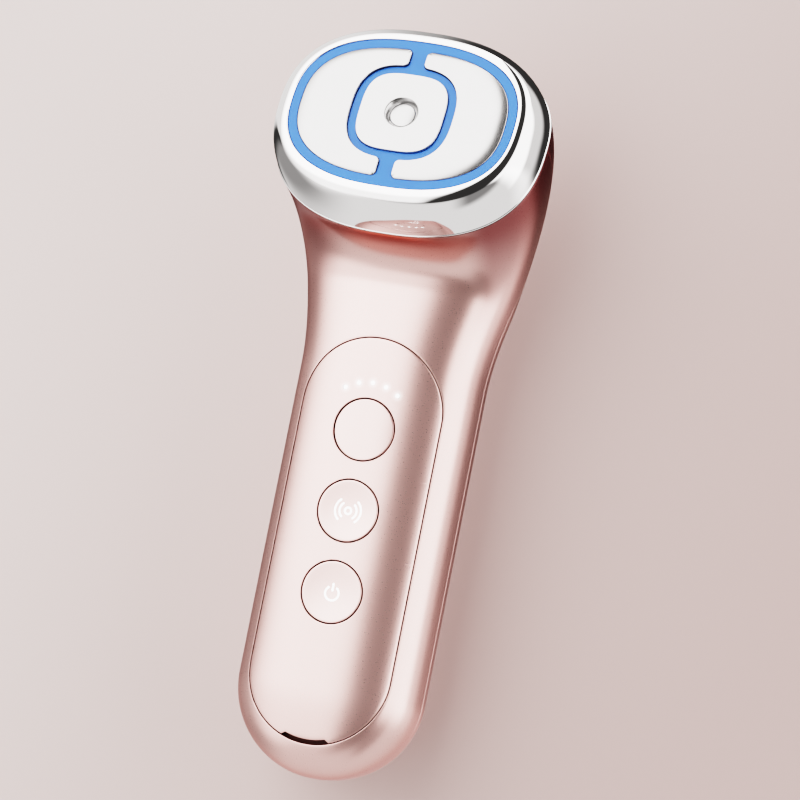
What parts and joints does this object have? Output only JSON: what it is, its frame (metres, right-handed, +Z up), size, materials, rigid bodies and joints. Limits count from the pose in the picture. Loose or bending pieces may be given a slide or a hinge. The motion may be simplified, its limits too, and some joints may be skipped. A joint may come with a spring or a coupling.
{
  "type": "facial toning device",
  "caption": "Hand-held wand with a flush panel of round push buttons on a straight handle and a bent neck that carries a tilted oval head with a chrome bezel and flat electrodes.",
  "frame": {"origin": "centre of the bounding box's base: the flat of the back lies on z = 0, midway between the foot's tip and the far edge of the head", "axes": "+Y from the foot towards the head, +Z up from the resting surface on the side that the buttons and the electrode face look out of, +X to the right when looking along +Y"},
  "size_m": [0.0556, 0.1507, 0.0517],
  "materials": {
    "rose_case": "satin rose metallic lacquer",
    "rose_panel": "satin rose metallic film with fine grain",
    "rose_button": "satin rose metallic lacquer, dished top",
    "chrome_bezel": "polished plating",
    "satin_electrode": "satin, soft pillowed edges",
    "blue_insulator": "smooth moulded",
    "clear_light": "clear, lit white",
    "board": "solder-masked glass fibre board",
    "black_component": "moulded",
    "inner_plastic": "moulded",
    "steel_part": "plated",
    "cell_wrap": "shrink-wrapped can",
    "brass_part": "machined",
    "rubber_part": "moulded",
    "cable": "flat flexible film"
  },
  "bodies": {
    "case": {"front_shell": "rose_case", "back_shell": "rose_case", "control_panel": "rose_panel", "switch_bodies": "black_component", "light_guide": "clear_light", "level_leds": "clear_light", "main_board": "board", "board_chips": "black_component", "board_screws": "steel_part", "battery_cell": "cell_wrap", "battery_cradle": "inner_plastic", "battery_tabs": "steel_part", "charge_board": "board", "charging_socket": "steel_part", "socket_seal": "rubber_part", "board_connector": "black_component", "motor_can": "steel_part", "motor_sleeve": "rubber_part", "head_bezel": "chrome_bezel", "head_gasket": "rubber_part", "insulator": "blue_insulator", "left_electrode": "satin_electrode", "right_electrode": "satin_electrode", "centre_electrode": "satin_electrode", "sensor_disc": "satin_electrode", "temperature_sensor": "black_component", "electrode_carrier": "inner_plastic", "contact_pins": "brass_part", "driver_board": "board", "driver_coil": "brass_part", "driver_chips": "black_component", "head_screws": "steel_part", "head_cable": "cable"},
    "level_button": {"level_button": "rose_button", "level_plunger": "inner_plastic"},
    "mode_button": {"mode_button": "rose_button", "mode_plunger": "inner_plastic"},
    "power_button": {"power_button": "rose_button", "power_plunger": "inner_plastic"},
    "eccentric": {"eccentric_weight": "brass_part", "motor_shaft": "steel_part"}
  },
  "joints": [
    {"name": "level_press", "type": "slide", "parent": "case", "child": "level_button", "axis": [0, 0, -1], "range_m": [0, 0.0004], "stiffness_N_per_m": 2500, "springref_m": -0.0002},
    {"name": "mode_press", "type": "slide", "parent": "case", "child": "mode_button", "axis": [0, 0, -1], "range_m": [0, 0.0004], "stiffness_N_per_m": 2500, "springref_m": -0.0002},
    {"name": "power_press", "type": "slide", "parent": "case", "child": "power_button", "axis": [0, 0, -1], "range_m": [0, 0.0004], "stiffness_N_per_m": 2500, "springref_m": -0.0002},
    {"name": "motor_spin", "type": "hinge", "parent": "case", "child": "eccentric", "pos_m": [0, 0.00058, 0.00755], "axis": [0, 1, 0], "continuous": true}
  ]
}
